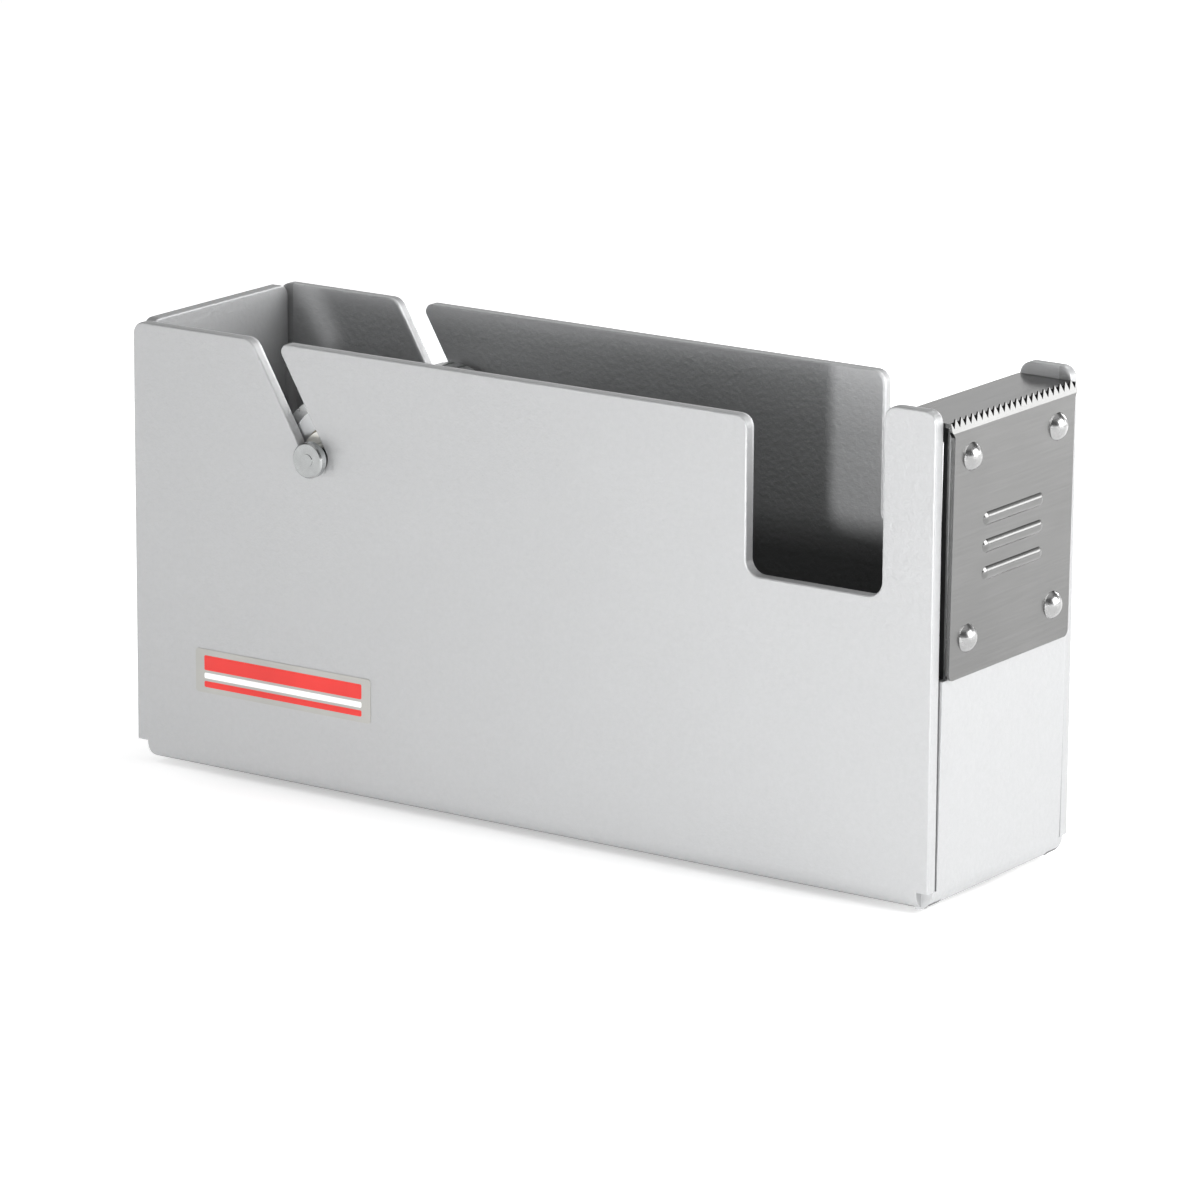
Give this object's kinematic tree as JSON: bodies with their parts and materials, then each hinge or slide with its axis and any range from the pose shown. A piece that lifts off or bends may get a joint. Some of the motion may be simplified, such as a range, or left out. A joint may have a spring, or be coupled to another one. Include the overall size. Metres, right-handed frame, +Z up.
{
  "type": "tape dispenser",
  "caption": "Heavy folded-steel desk tape dispenser: open box with slanted axle slots, lift-out ribbed reel for 1-inch cores, hand cut-out and riveted toothed cutter plate.",
  "frame": {"origin": "on the table, in the middle of the whole dispenser's footprint", "axes": "+X to the cutting end, +Y across to the panel without the label, +Z up"},
  "size_m": [0.219, 0.065, 0.111],
  "materials": {
    "silver_powder_coat": "silver metallic powder coat, fine texture",
    "brushed_stainless": "brushed along the width",
    "rivet_steel": "polished dome",
    "axle_steel": "satin turned steel",
    "reel_aluminium": "satin extruded aluminium",
    "cap_plastic": "moulded, light grey",
    "bush_brass": "turned",
    "washer_nylon": "punched sheet nylon",
    "foot_rubber": "matt",
    "label_film": "printed foil film with a plain red block"
  },
  "bodies": {
    "case": {"body_shell": "silver_powder_coat", "cutter_plate": "brushed_stainless", "cutter_rivet_1": "rivet_steel", "cutter_rivet_2": "rivet_steel", "cutter_rivet_3": "rivet_steel", "cutter_rivet_4": "rivet_steel", "foot_1": "foot_rubber", "foot_2": "foot_rubber", "foot_3": "foot_rubber", "foot_4": "foot_rubber", "label": "label_film"},
    "axle": {"axle_rod": "axle_steel", "axle_head_near": "axle_steel", "axle_head_far": "axle_steel", "spacer_washer_near": "washer_nylon", "spacer_washer_far": "washer_nylon"},
    "reel": {"reel_drum": "reel_aluminium", "reel_cap_near": "cap_plastic", "reel_cap_far": "cap_plastic", "reel_bush_near": "bush_brass", "reel_bush_far": "bush_brass"}
  },
  "joints": [
    {"name": "axle_lift", "type": "slide", "parent": "case", "child": "axle", "axis": [-0.5075, 0, 0.8616], "range_m": [0, 0.05]},
    {"name": "reel_spin", "type": "hinge", "parent": "axle", "child": "reel", "pos_m": [-0.05749, 0, 0.079], "axis": [0, 1, 0], "continuous": true}
  ]
}
